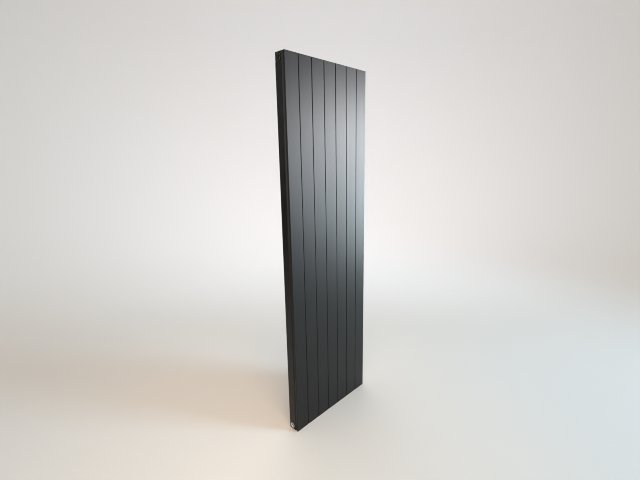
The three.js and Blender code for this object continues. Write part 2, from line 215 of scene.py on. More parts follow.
def make_piece(name, points, faces, finish, smooth_deg=SMOOTH_ANGLE, inner_finish=None, inner_faces=None):
    """An object from points and faces, its doubles merged and its edges sharp past an angle. The inner faces,
    a slice of all faces, take a finish of their own."""
    mesh = bpy.data.meshes.new(name)
    mesh.from_pydata(np.asarray(points).tolist(), [], [list(face) for face in faces])
    if finish:
        mesh.materials.append(finish.material)
    if inner_finish:
        mesh.materials.append(inner_finish.material)
        marks = np.zeros(len(faces), dtype=np.int32)
        marks[inner_faces] = 1
        mesh.polygons.foreach_set("material_index", marks)
    piece = bpy.data.objects.new(name, mesh)
    bpy.context.scene.collection.objects.link(piece)
    tidy(piece, smooth_deg)
    return piece


def tidy(piece, smooth_deg):
    """Merges doubles, drops faces without area, turns faces outwards and keeps edges sharp past an angle."""
    work = bmesh.new()
    work.from_mesh(piece.data)
    bmesh.ops.remove_doubles(work, verts=work.verts, dist=MERGE_DISTANCE)
    bmesh.ops.dissolve_degenerate(work, dist=LEAST_EDGE, edges=work.edges)
    bmesh.ops.recalc_face_normals(work, faces=work.faces)
    work.to_mesh(piece.data)
    work.free()
    piece.data.polygons.foreach_set("use_smooth", np.ones(len(piece.data.polygons), dtype=bool))
    piece.data.set_sharp_from_angle(angle=math.radians(smooth_deg))
    if not piece.modifiers:
        even = piece.modifiers.new("even_shading", "WEIGHTED_NORMAL")
        even.keep_sharp = True


FLOOR_RADIUS = 3.5
WALL_CURVE = 5.0
WALL_ABOVE = 3.2
STUDIO_SIDES = 96


def studio_stage():
    """Floor, quarter round and wall: a profile of radius and height turned about the z axis."""
    bend = np.linspace(0, math.pi / 2, 33)
    flat = np.append(0, np.linspace(0.5, FLOOR_RADIUS, 12))
    radius = np.concatenate([flat, FLOOR_RADIUS + WALL_CURVE * np.sin(bend)])
    height = np.concatenate([0 * flat, WALL_CURVE * (1 - np.cos(bend))])
    radius = np.append(radius, radius[-1])[:, None]
    height = np.append(height, WALL_CURVE + WALL_ABOVE)[:, None]
    turn = np.linspace(0, 2 * math.pi, STUDIO_SIDES, endpoint=False)
    points = np.stack([radius * np.cos(turn), radius * np.sin(turn), height + 0 * turn], axis=-1)
    paper = Finish("studio_paper", base_color=(0.80, 0.80, 0.80, 1), roughness=0.9, specular_ior_level=0.0)
    floor = grid_mesh("studio_floor", points, around=True, finish=paper)
    floor.data.flip_normals()


def cloth_flag(name, foot, along, width, height, colour):
    """An upright cloth out of sight that shows only in the gloss of the side that faces it: a point stands at
    foot + s along + t up, for s within half the width and t up to the height."""
    foot, along = np.array(foot, dtype=float), np.array(along, dtype=float) / np.linalg.norm(along)
    across = np.linspace(-width / 2, width / 2, 2)[:, None, None] * along
    points = foot + across + np.array([0, height])[None, :, None] * np.array([0.0, 0.0, 1.0])
    cloth = Finish(name, base_color=colour, roughness=0.9)
    flag = grid_mesh(name, points, finish=cloth)
    flag.visible_camera = flag.visible_diffuse = flag.visible_shadow = False


def soft_box(
    name, place, target, width, height, power, colour, gloss_only=False, matt_only=False, spread=180
):
    """A rectangular lamp that faces a target and isn't seen itself. A gloss_only lamp shows only in
    reflections, as a card does that is too weak to light the floor, and a matt_only lamp lights all but isn't
    mirrored. A spread below 180 degrees narrows the beam, as a grid does."""
    lamp = bpy.data.lights.new(name, "AREA")
    lamp.shape = "RECTANGLE"
    lamp.size = width
    lamp.size_y = height
    lamp.energy = power
    lamp.spread = math.radians(spread)
    lamp.color = colour
    box = bpy.data.objects.new(name, lamp)
    box.location = place
    box.rotation_euler = (Vector(target) - Vector(place)).to_track_quat("-Z", "Y").to_euler()
    box.visible_camera = False
    box.visible_diffuse = not gloss_only
    box.visible_glossy = not matt_only
    bpy.context.scene.collection.objects.link(box)


def studio_light():
    """A warm sky through the open top, the cloths, the cards that are mirrored and the boxes that light."""
    bpy.context.scene.cycles.filter_width = 1.0
    world = bpy.data.worlds.new("studio_world")
    world.use_nodes = True
    sky = world.node_tree.nodes["Background"]
    sky.inputs["Color"].default_value = (1.0, 0.92, 0.79, 1)
    sky.inputs["Strength"].default_value = 0.65
    bpy.context.scene.world = world
    cloth_flag("left_flag", (-1.9, 1.9, 0.0), (1, 1, 0), 2.6, 1.2, (0.10, 0.07, 0.06, 1))
    cloth_flag("left_flag_top", (-1.9, 1.9, 1.2), (1, 1, 0), 2.6, 2.0, (0.55, 0.51, 0.49, 1))
    card, box = {"gloss_only": True}, {"matt_only": True}
    soft_box("tall_card", (2.65, -1.95, 1.40), (0, 0, 1.4), 1.5, 1.6, 73, (0.85, 0.88, 1.0), **card)
    soft_box("bright_card", (2.60, -1.90, 1.80), (0, 0, 1.4), 1.5, 0.7, 77, (0.99, 1.0, 0.99), **card)
    soft_box("side_card", (3.20, -1.20, 0.60), (0, 0, 0.6), 1.4, 1.6, 139, (0.78, 0.96, 1.0), **card)
    soft_box("edge_card", (-3.4, -0.9, 1.6), (0, 0, 1.3), 0.8, 2.4, 26, (1.0, 0.97, 0.94), **card)
    place, target = (2.97, -4.62, 2.8), (-0.8, 0.7, 0.2)
    soft_box("key_box", place, target, 1.6, 1.1, 50, (0.48, 0.79, 1.0), spread=88, **box)
    place, target = (0.7, 0.6, 4.2), (4.8, 4.5, 2.8)
    soft_box("wall_spot", place, target, 3.0, 2.0, 138, (0.71, 0.83, 1.0), spread=150, **box)
    place, target = (0.7, 0.6, 3.6), (4.8, 4.5, 4.4)
    soft_box("high_spot", place, target, 3.0, 2.0, 34, (1.0, 0.66, 0.50), spread=145, **box)
    soft_box("back_box", (2.2, 2.2, 4.5), (2.0, 2.4, 0.0), 3.0, 3.0, 52, (1.0, 0.84, 0.75), **box)
    place, target = (-0.7, -0.7, 3.2), (-0.6, -0.1, 0.0)
    soft_box("front_box", place, target, 0.6, 0.6, 3.5, (1.0, 0.66, 0.38), spread=60, **box)


bpy.context.scene.view_settings.view_transform = "Standard"
place_camera()
studio_stage()
studio_light()

# ------------------------------------------------------------------------------------------------------------
# Elements: aluminium extrusions, powder coated satin black. Each has a flat face with rounded edges and
# turned-back lips, a shadow notch, closed side walls, and a water tube on webs in the open back.

EDGE_RADIUS = 0.0025
FACE_WALL = 0.0022
LIP_DEPTH = 0.008
LIP_WALL = 0.0018
NOTCH = 0.004
NOTCH_LENGTH = 0.004
SHOULDER_DEPTH = 0.018
SIDE_WALL = 0.0016
REAR_LIP = 0.004
MILLED_DEPTH = 0.0184
MID_WALL = 0.0016
TUBE_RADIUS = 0.012
BORE_RADIUS = 0.009
FRONT_WEB = 0.003
SIDE_WEB = 0.0015
CORNER_ROUND = 0.0008
CHAMBER_ROUND = 0.001
SMALL_ROUND = 0.0005
STEP_LENGTH = 0.0006
SHAFT_GAP = 0.0004
OVERLAP = 0.00005
END_EASE = 0.0003
NIPPLE_ABOVE_JOINT = 0.012
COLLAR_GAP = 0.0003
POCKET_GAP = 0.0005

first_low, first_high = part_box("element_1")
FRONT_Y = first_low[1]
ELEMENT_WIDTH = first_high[0] - first_low[0]
HEIGHT = first_high[2]
DEPTH = first_high[1] - FRONT_Y
collector_low, collector_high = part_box("collector_bottom")
TUBE_DEPTH = (collector_low[1] + collector_high[1]) / 2 - FRONT_Y
POCKET_HEIGHT = collector_high[2] + POCKET_GAP
COUNTERBORE_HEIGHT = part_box("nipple_bottom_1")[1][2] - NIPPLE_ABOVE_JOINT + COLLAR_GAP
COUNTERBORE_RADIUS = 0.014


def rounded(corners, facets=6):
    """A closed outline from (x, y, radius) corners: each corner with a radius becomes an arc that touches
    both of its sides, of points centre + radius (cos a, sin a)."""
    outline = []
    points = np.array([(x, y) for x, y, _ in corners], dtype=float)
    for i, (_, _, radius) in enumerate(corners):
        here, before, after = points[i], points[i - 1], points[(i + 1) % len(points)]
        if radius <= 0:
            outline.append(here)
            continue
        to_before = (before - here) / np.linalg.norm(before - here)
        to_after = (after - here) / np.linalg.norm(after - here)
        half = math.acos(np.clip(to_before @ to_after, -1, 1)) / 2
        inwards = (to_before + to_after) / np.linalg.norm(to_before + to_after)
        centre = here + inwards * radius / math.sin(half)
        first = here + to_before * radius / math.tan(half) - centre
        last = here + to_after * radius / math.tan(half) - centre
        start = math.atan2(first[1], first[0])
        sweep = (math.atan2(last[1], last[0]) - start + math.pi) % (2 * math.pi) - math.pi
        angles = start + sweep * np.linspace(0, 1, facets + 1)
        outline.extend(centre + radius * np.stack([np.cos(angles), np.sin(angles)], axis=-1))
    return np.array(outline)


def inset(outline, distance):
    """The outline moved inwards by a distance, each point along the mean of its two sides' normals."""
    ahead = np.roll(outline, -1, axis=0) - outline
    ahead /= np.linalg.norm(ahead, axis=1)[:, None]
    behind = np.roll(ahead, 1, axis=0)
    area = np.sum(outline[:, 0] * np.roll(outline[:, 1], -1) - outline[:, 1] * np.roll(outline[:, 0], -1))
    sign = 1 if area > 0 else -1
    normal = sign * np.stack([-(ahead + behind)[:, 1], (ahead + behind)[:, 0]], axis=-1)
    length = np.linalg.norm(normal, axis=1)[:, None]
    return outline + normal / length * distance / np.maximum(length / 2, 0.5)


def bar(name, outline, holes, start, end, place, finish, ease=0.0, inner_finish=None):
    """A closed bar: the outline and its holes carried from one height to another, with flat ends that are
    eased at their edges. place turns an array of (across, deep, along) into xyz. The walls of the holes take
    the inner finish, when there is one."""
    loops, faces, points = [outline, *holes], [], []
    outer_faces = 0
    for k, loop in enumerate(loops):
        eased = inset(loop, ease if k == 0 else -ease) if ease else loop
        heights = [(start, eased), (start + ease, loop), (end - ease, loop), (end, eased)]
        heights = heights if ease else [(start, loop), (end, loop)]
        base, count = sum(len(p) for p in points), len(loop)
        for height, ring in heights:
            points.append(np.column_stack([ring, np.full(count, height)]))
        this = np.arange(count)
        beside = (this + 1) % count
        for level in range(len(heights) - 1):
            low, high = base + level * count, base + (level + 1) * count
            faces.extend(np.stack([low + this, low + beside, high + beside, high + this], axis=-1).tolist())
        outer_faces = outer_faces or len(faces)
    wall_faces = len(faces)
    levels = 4 if ease else 2
    firsts = np.cumsum([0] + [levels * len(loop) for loop in loops])
    flat = [[Vector((x, y, 0)) for x, y in points[k * levels][:, :2]] for k in range(len(loops))]
    index = np.concatenate([firsts[k] + np.arange(len(loop)) for k, loop in enumerate(loops)])
    lift = np.concatenate([np.full(len(loop), (levels - 1) * len(loop)) for loop in loops])
    for a, b, c in tessellate_polygon(flat):
        faces.append([index[a], index[b], index[c]])
        faces.append([index[c] + lift[c], index[b] + lift[b], index[a] + lift[a]])
    inner_faces = slice(outer_faces, wall_faces)
    points = place(np.vstack(points))
    return make_piece(name, points, faces, finish, inner_finish=inner_finish, inner_faces=inner_faces)


def mirrored(corners):
    """The corners of the other half of an outline, with x turned about."""
    return [(-x, y, radius) for x, y, radius in reversed(corners)]


def tinted(colour, factor):
    """A colour made darker or lighter by a factor."""
    return (*[channel * factor for channel in colour], 1)


def powder_coat(name, colour, rough):
    """Satin powder coat: nearly black, with a fine orange peel that the gloss shows up close, and a slight
    unevenness of sheen over a hand's breadth."""
    coat = Finish(name, base_color=tinted(colour, 1), roughness=rough, metallic=0.0, ior=1.37)
    peel = coat.noise(620, detail=2.0)
    grain = coat.noise(2600, detail=1.0)
    cloud = coat.noise(6, detail=2.0, stretch=(1, 1, 0.4))
    coat.vary(Roughness=rough - 0.02 + cloud * 0.04 + grain * 0.03)
    coat.vary(Base_Color=coat.mix(cloud, tinted(colour, 0.88), tinted(colour, 1.12)))
    coat.bump(peel * 0.8 + grain * 0.2, distance=0.00002, strength=0.6)
    return coat


def element_sections():
    """The front shell's outline and chamber, and the rear part's outline and hollows, about the element's
    middle. The tube is an arc of points (r cos a, depth + r sin a) between its webs."""
    half = ELEMENT_WIDTH / 2
    neck = half - NOTCH
    notch_end = LIP_DEPTH + NOTCH_LENGTH
    slope = NOTCH / (SHOULDER_DEPTH - notch_end)
    mid_front = MILLED_DEPTH - MID_WALL
    inner = neck - LIP_WALL
    shell_right = [
        (half, MILLED_DEPTH, 0),
        (half, SHOULDER_DEPTH, 0),
        (neck, notch_end, CORNER_ROUND),
        (neck, LIP_DEPTH, SMALL_ROUND),
        (half, LIP_DEPTH, CORNER_ROUND),
        (half, 0, EDGE_RADIUS),
    ]
    chamber_right = [
        (half - LIP_WALL, FACE_WALL, CHAMBER_ROUND),
        (half - LIP_WALL, LIP_DEPTH - LIP_WALL, SMALL_ROUND),
        (inner, LIP_DEPTH - LIP_WALL, SMALL_ROUND),
        (inner, notch_end + STEP_LENGTH, SMALL_ROUND),
        (inner + slope * (mid_front - notch_end - STEP_LENGTH), mid_front, SMALL_ROUND),
    ]
    reach = math.sqrt(TUBE_RADIUS**2 - (SIDE_WEB / 2) ** 2)
    side_angle = math.asin(SIDE_WEB / 2 / TUBE_RADIUS)
    angles = np.linspace(math.pi - side_angle, side_angle, 25)
    bulge = [(TUBE_RADIUS * math.cos(a), TUBE_DEPTH + TUBE_RADIUS * math.sin(a), 0) for a in angles[1:-1]]
    web_rear, web_front = TUBE_DEPTH + SIDE_WEB / 2, TUBE_DEPTH - SIDE_WEB / 2
    lip_front = DEPTH - SIDE_WALL
    rear_right = [
        (half, MILLED_DEPTH - OVERLAP, 0),
        (half, DEPTH, CORNER_ROUND),
        (half - REAR_LIP, DEPTH, SMALL_ROUND),
        (half - REAR_LIP, lip_front, SMALL_ROUND),
        (half - SIDE_WALL, lip_front, SMALL_ROUND),
        (half - SIDE_WALL, web_rear, SMALL_ROUND),
        (reach, web_rear, 0),
    ]
    rear = rear_right + [(-x, y, radius) for x, y, radius in bulge] + mirrored(rear_right)
    front_angle = math.asin(FRONT_WEB / 2 / TUBE_RADIUS)
    angles = np.linspace(-side_angle, -math.pi / 2 + front_angle, 13)
    cheek = [(TUBE_RADIUS * math.cos(a), TUBE_DEPTH + TUBE_RADIUS * math.sin(a), 0) for a in angles]
    shaft = [
        (FRONT_WEB / 2, MILLED_DEPTH + SHAFT_GAP, SMALL_ROUND),
        (half - SIDE_WALL, MILLED_DEPTH + SHAFT_GAP, SMALL_ROUND),
        (half - SIDE_WALL, web_front, SMALL_ROUND),
        *cheek,
    ]
    turn = np.linspace(0, 2 * math.pi, 48, endpoint=False)
    bore = np.stack([BORE_RADIUS * np.cos(turn), TUBE_DEPTH + BORE_RADIUS * np.sin(turn)], axis=-1)
    shell = rounded(shell_right + mirrored(shell_right), facets=8)
    chamber = rounded(chamber_right + mirrored(chamber_right), facets=3)
    hollows = [rounded(shaft, facets=3), rounded(mirrored(shaft), facets=3), bore]
    return shell, chamber, rounded(rear, facets=3), hollows


def raw_aluminium(name):
    """Mill-finish aluminium of shafts, tubes and collectors: grey, with long die lines up the extrusion."""
    mill = Finish(name, base_color=(0.42, 0.43, 0.44, 1), roughness=0.45, metallic=1.0)
    lines = mill.noise(900, detail=2.0, stretch=(1, 1, 0.004))
    patch = mill.noise(30, detail=2.0)
    mill.vary(Base_Color=mill.mix(patch, (0.36, 0.37, 0.38, 1), (0.48, 0.49, 0.50, 1)))
    mill.vary(Roughness=0.4 + lines * 0.16)
    mill.bump(lines, distance=0.00003, strength=0.6)
    return mill


def join_pieces(name, *pieces):
    """One object from several that ride together."""
    bpy.ops.object.select_all(action="DESELECT")
    for piece in pieces:
        piece.select_set(True)
    bpy.context.view_layer.objects.active = pieces[0]
    bpy.ops.object.join()
    pieces[0].name = name
    pieces[0].data.name = name
    return pieces[0]


def drilled(piece, drills):
    """The piece with closed drills taken out of it."""
    drill = join_pieces(piece.name + "_drill", *drills)
    change = piece.modifiers.new("drill", "BOOLEAN")
    change.operation = "DIFFERENCE"
    change.solver = "EXACT"
    change.object = drill
    bpy.context.view_layer.objects.active = piece
    bpy.ops.object.modifier_apply(modifier="drill")
    bpy.data.objects.remove(drill)
    tidy(piece, SMOOTH_ANGLE)
    return piece


def rod(name, centre, radius, low, high, columns=48):
    """A closed upright cylinder between two heights."""
    turn = np.linspace(0, 2 * math.pi, columns, endpoint=False)
    radii = np.array([0, radius, radius, 0])[:, None]
    heights = np.array([low, low, high, high])[:, None] + 0 * turn
    points = np.stack([centre[0] + radii * np.cos(turn), centre[1] + radii * np.sin(turn), heights], axis=-1)
    return grid_mesh(name, points, around=True)


def upright_at(middle):
    """Places a section that is drawn about an element's middle."""
    return lambda points: points + (middle, FRONT_Y, 0)


BLACK_COAT = powder_coat("satin_black_powder_coat", (0.0058, 0.0066, 0.0072), 0.4)
RAW_ALUMINIUM = raw_aluminium("mill_aluminium")
ELEMENTS = range(1, 8)
shell, chamber, rear, hollows = element_sections()
for number in ELEMENTS:
    low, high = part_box(f"element_{number}")
    middle = (low[0] + high[0]) / 2
    place = upright_at(middle)
    front = bar("front", shell, [chamber], 0, HEIGHT, place, BLACK_COAT, END_EASE, RAW_ALUMINIUM)
    pocket_ends = (POCKET_HEIGHT, HEIGHT - POCKET_HEIGHT)
    back = bar("back", rear, hollows, *pocket_ends, place, BLACK_COAT, inner_finish=RAW_ALUMINIUM)
    tube_middle = (middle, FRONT_Y + TUBE_DEPTH)
    counterbores = [
        rod("counterbore", tube_middle, COUNTERBORE_RADIUS, 0, COUNTERBORE_HEIGHT),
        rod("counterbore", tube_middle, COUNTERBORE_RADIUS, HEIGHT - COUNTERBORE_HEIGHT, HEIGHT),
    ]
    element = join_pieces(f"panel_element_{number}", front, drilled(back, counterbores))
    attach(element, ROOT)
    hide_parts(f"element_{number}")

# ------------------------------------------------------------------------------------------------------------
# Collectors: square aluminium tubes across the back at both ends, drilled for the nipples and coated like the
# elements. Each open end is closed by a plate, welded round its edge, that holds a threaded bush.

COLLECTOR_WALL = 0.002
COLLECTOR_ROUND = 0.002
INSIDE_ROUND = 0.0006
WELD_RADIUS = 0.0006
WELD_STANDS_OUT = 0.0003
RIPPLE_LENGTH = 0.0016
RIPPLE_SHARE = 0.12
WELD_STEP = 0.0004
WELD_SMOOTH_ANGLE = 60
DRILL_REACH = 0.004
BUSH_FIT = 0.0001


def along_x(points):
    """(y, z, x) columns to xyz, for a bar carried along x."""
    return points[:, [2, 0, 1]]


def square(low, high, radius, facets=8):
    """A square outline with round corners between two (y, z) corners."""
    corners = [(low[0], low[1]), (high[0], low[1]), (high[0], high[1]), (low[0], high[1])]
    return rounded([(y, z, radius) for y, z in corners], facets)


def ring_bead(name, path, radius, finish):
    """A weld bead: a circle of radius r carried round a closed path, with r rippled by the sine of the
    distance run, and ground flush where it would pass below or above the radiator's ends. The circle lies in
    the plane of x and the path's outward normal."""
    ahead = np.roll(path, -1, axis=0) - np.roll(path, 1, axis=0)
    ahead /= np.linalg.norm(ahead, axis=1)[:, None]
    across = np.array([1.0, 0.0, 0.0])
    outward = np.cross(ahead, across)
    run = np.concatenate([[0], np.cumsum(np.linalg.norm(np.diff(path, axis=0), axis=1))])
    thick = radius * (1 + RIPPLE_SHARE * np.sin(2 * math.pi * run / RIPPLE_LENGTH))
    turn = np.linspace(0, 2 * math.pi, 10, endpoint=False)
    circle = np.cos(turn)[None, :, None] * outward[:, None, :] + np.sin(turn)[None, :, None] * across
    points = path[:, None, :] + thick[:, None, None] * circle
    points = np.concatenate([points, points[:1]])
    points[..., 2] = np.clip(points[..., 2], cad_low[2], cad_high[2])
    return grid_mesh(name, points, around=True, finish=finish, smooth_deg=WELD_SMOOTH_ANGLE)


def spaced(outline, step):
    """Points at equal steps along a closed outline."""
    closed = np.vstack([outline, outline[:1]])
    run = np.concatenate([[0], np.cumsum(np.linalg.norm(np.diff(closed, axis=0), axis=1))])
    places = np.linspace(0, run[-1], int(run[-1] / step), endpoint=False)
    return np.stack([np.interp(places, run, closed[:, k]) for k in range(closed.shape[1])], axis=-1)


for end in ("bottom", "top"):
    low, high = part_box(f"collector_{end}")
    outline = square(low[1:], high[1:], COLLECTOR_ROUND)
    low_inside, high_inside = np.array(low[1:]) + COLLECTOR_WALL, np.array(high[1:]) - COLLECTOR_WALL
    inside = square(low_inside, high_inside, INSIDE_ROUND)
    tube = bar("tube", outline, [inside], low[0], high[0], along_x, BLACK_COAT, inner_finish=RAW_ALUMINIUM)
    wall = high[2] if end == "bottom" else low[2]
    drills = []
    for number in ELEMENTS:
        nipple_low, nipple_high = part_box(f"nipple_{end}_{number}")
        centre = ((nipple_low[0] + nipple_high[0]) / 2, (nipple_low[1] + nipple_high[1]) / 2)
        drills.append(rod("drill", centre, BORE_RADIUS, wall - DRILL_REACH, wall + DRILL_REACH))
    collector = drilled(tube, drills)
    collector.name = f"square_collector_{end}"
    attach(collector, ROOT)
    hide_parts(f"collector_{end}")

    for side, label in ((-1, "left"), (1, "right")):
        plate_low, plate_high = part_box(f"end_plate_{end}_{label}")
        bush_low, bush_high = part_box(f"bush_{end}_{label}")
        bush_radius = (bush_high[1] - bush_low[1]) / 2
        axis = ((bush_low[1] + bush_high[1]) / 2, (bush_low[2] + bush_high[2]) / 2)
        turn = np.linspace(0, 2 * math.pi, 64, endpoint=False)
        unit = np.stack([np.cos(turn), np.sin(turn)], axis=-1)
        outline = square(plate_low[1:], plate_high[1:], COLLECTOR_ROUND)
        hole = axis + (bush_radius + BUSH_FIT) * unit
        plate = bar("plate", outline, [hole], plate_low[0], plate_high[0], along_x, BLACK_COAT)
        seam = side * min(abs(plate_low[0]), abs(plate_high[0]))
        path = spaced(inset(outline, WELD_RADIUS - WELD_STANDS_OUT), WELD_STEP)
        path = np.column_stack([np.full(len(path), seam), path])
        edge_weld = ring_bead("edge_weld", path, WELD_RADIUS, BLACK_COAT)
        round_path = spaced(axis + (bush_radius + 2 * BUSH_FIT) * unit, WELD_STEP)
        face = side * max(abs(plate_low[0]), abs(plate_high[0]))
        round_path = np.column_stack([np.full(len(round_path), face), round_path])
        bush_weld = ring_bead("bush_weld", round_path, WELD_RADIUS, BLACK_COAT)
        welded = join_pieces(f"welded_end_plate_{end}_{label}", plate, edge_weld, bush_weld)
        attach(welded, ROOT)
        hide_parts(f"end_plate_{end}_{label}")

# ------------------------------------------------------------------------------------------------------------
# Bushes: turned steel rings with a half-inch pipe thread inside, nickel plated, left bare where the coat was
# masked off. The two lower ones are the open sockets for the valves.

THREAD_PITCH = 0.001814
THREAD_DEPTH = 0.00095
THREAD_STEEPNESS = 1.25
THREAD_ROOT = 0.12
THREAD_FADE = 0.6
THREAD_SMOOTH_ANGLE = 30
BUSH_CHAMFER = 0.0013
BUSH_BORE = 0.0095
PLATED_ROWS = 26
FACE_CHAMFER = 0.3
MOUTH_CHAMFER = 0.8
bush_low, bush_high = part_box("bush_bottom_right")
BUSH_FACE_X = bush_high[0]
AXIS_Y = (bush_low[1] + bush_high[1]) / 2
TURN_COLUMNS = 96
TURN = np.linspace(0, 2 * math.pi, TURN_COLUMNS, endpoint=False)


def thread_profile(height, pitch, ease):
    """How deep a screw thread is at each angle and height, from 0 to 1: a triangle wave of height over pitch
    less angle over a full turn, with flattened crests and roots. It fades in over an ease at both ends."""
    phase = (height[:, None] / pitch - TURN / (2 * math.pi)) % 1
    wave = np.clip(THREAD_STEEPNESS * (1 - np.abs(2 * phase - 1)) - THREAD_ROOT, 0, 1)
    fade = np.clip(np.minimum(height - height.min(), height.max() - height) / ease, 0, 1)
    return wave * fade[:, None]


def rows(*pairs):
    """Rows of radius and height over a full turn, from pairs of numbers or arrays."""
    flat = np.zeros(TURN_COLUMNS)
    return [(flat + radius, flat + height) for radius, height in pairs]


def thread_rows(radius, depth, start, end, pitch=THREAD_PITCH, samples=10):
    """Rows of a thread on a cylinder, from one height to another. A positive depth goes outwards."""
    count = max(int(abs(end - start) / pitch * samples), 2)
    height = np.linspace(start, end, count)
    radii = radius + depth * thread_profile(height, pitch, pitch * THREAD_FADE)
    return [(radii[k], np.full(TURN_COLUMNS, height[k])) for k in range(count)]


def turned(
    name, side, axis_z, profile, finish, closed=False, smooth_deg=SMOOTH_ANGLE, bore_from=0, bore_finish=None
):
    """A piece turned on a connection's axis: a row at radius r and height h is the circle of points x = side
    (face + h), y = axis + r cos a, z = axis + r sin a. closed joins the last row to the first. The rows from
    bore_from on take the bore's finish."""
    profile = profile + profile[:1] if closed else profile
    radius = np.array([row[0] for row in profile])
    height = np.array([row[1] for row in profile])
    x = side * (BUSH_FACE_X + height)
    points = np.stack([x, AXIS_Y + radius * np.cos(TURN), axis_z + radius * np.sin(TURN)], axis=-1)
    bore_faces = slice(bore_from * TURN_COLUMNS, -TURN_COLUMNS)
    return grid_mesh(name, points, True, finish, smooth_deg, bore_finish, bore_faces)


def bare_metal(name, colour, rough, streak):
    """Turned or plated metal: fine rings round x, and a breath of tarnish in soft patches."""
    metal = Finish(name, base_color=(*colour, 1), roughness=rough, metallic=1.0)
    rings = metal.noise(300, detail=2.0, stretch=(9, 0.4, 0.4))
    patch = metal.noise(70, detail=3.0)
    dull = tuple(channel * 0.72 for channel in colour)
    metal.vary(Base_Color=metal.mix(patch * 0.7, (*colour, 1), (*dull, 1)))
    metal.vary(Roughness=rough + patch * 0.1 + rings * 0.06)
    metal.bump(rings, distance=streak, strength=0.5)
    return metal


NICKEL = bare_metal("nickel_plate", (0.94, 0.92, 0.88), 0.26, 0.00002)
# The thread deep in the bore takes a near-black colour. This is painted shade for the darkness inside the
# open socket, not the plating's own colour.
THREAD_PAINTED_SHADE = bare_metal("dull_thread", (0.16, 0.14, 0.12), 0.5, 0.00002)
for end in ("bottom", "top"):
    for side, label in ((-1, "left"), (1, "right")):
        low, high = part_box(f"bush_{end}_{label}")
        axis_z = (low[2] + high[2]) / 2
        length = high[0] - low[0]
        outer = (high[1] - low[1]) / 2
        profile = rows(
            (outer, -length),
            (outer, -BUSH_CHAMFER),
            (outer - BUSH_CHAMFER * FACE_CHAMFER, -BUSH_CHAMFER * FACE_CHAMFER),
            (outer - BUSH_CHAMFER, 0),
            (BUSH_BORE + BUSH_CHAMFER * MOUTH_CHAMFER, 0),
        )
        # Past the first plated rows, the rest of the bore's thread takes the dark painted shade.
        bore_from = len(profile) + PLATED_ROWS
        profile += thread_rows(BUSH_BORE, THREAD_DEPTH, -BUSH_CHAMFER, -length)
        bush_name = f"threaded_bush_{end}_{label}"
        finishes = {"finish": NICKEL, "bore_from": bore_from, "bore_finish": THREAD_PAINTED_SHADE}
        bush = turned(
            bush_name, side, axis_z, profile, closed=True, smooth_deg=THREAD_SMOOTH_ANGLE, **finishes
        )
        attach(bush, ROOT)
        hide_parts(f"bush_{end}_{label}")

# ------------------------------------------------------------------------------------------------------------
# Nipples and gaskets: fourteen turned brass sleeves that carry the water from the collectors into the tubes,
# each with a collar that presses a black rubber washer on to the collector.

NIPPLE_BORE = 0.007
NIPPLE_SLEEVE = 0.0087
WASHER_SQUARENESS = 0.45
EASE = 0.0003


def upright_turned(name, x, y, base_z, direction, profile, finish, columns=40):
    """A ring turned on an upright axis: a point at radius r and height h stands at z = base + direction h."""
    turn = np.linspace(0, 2 * math.pi, columns, endpoint=False)
    radius, height = np.array(profile + profile[:1]).T[:, :, None]
    z = base_z + direction * height + 0 * turn
    points = np.stack([x + radius * np.cos(turn), y + radius * np.sin(turn), z], axis=-1)
    return grid_mesh(name, points, around=True, finish=finish)


def rubber(name):
    """Moulded rubber: black, dull, with a fine mottle."""
    seal = Finish(name, base_color=(0.015, 0.015, 0.015, 1), roughness=0.75)
    mottle = seal.noise(900, detail=2.0)
    seal.vary(Roughness=0.66 + mottle * 0.16)
    seal.bump(mottle, distance=0.00002, strength=0.5)
    return seal


def washer_section(inner, outer, low, high):
    """A rectangle with rolled corners: from its middle, the reach times a power of cosine and sine."""
    turn = np.linspace(0, 2 * math.pi, 16, endpoint=False)
    across, along = np.cos(turn), np.sin(turn)
    radius = (outer + inner) / 2 + (outer - inner) / 2 * np.sign(across) * np.abs(across) ** WASHER_SQUARENESS
    height = (low + high) / 2 + (high - low) / 2 * np.sign(along) * np.abs(along) ** WASHER_SQUARENESS
    return list(zip(radius, height))


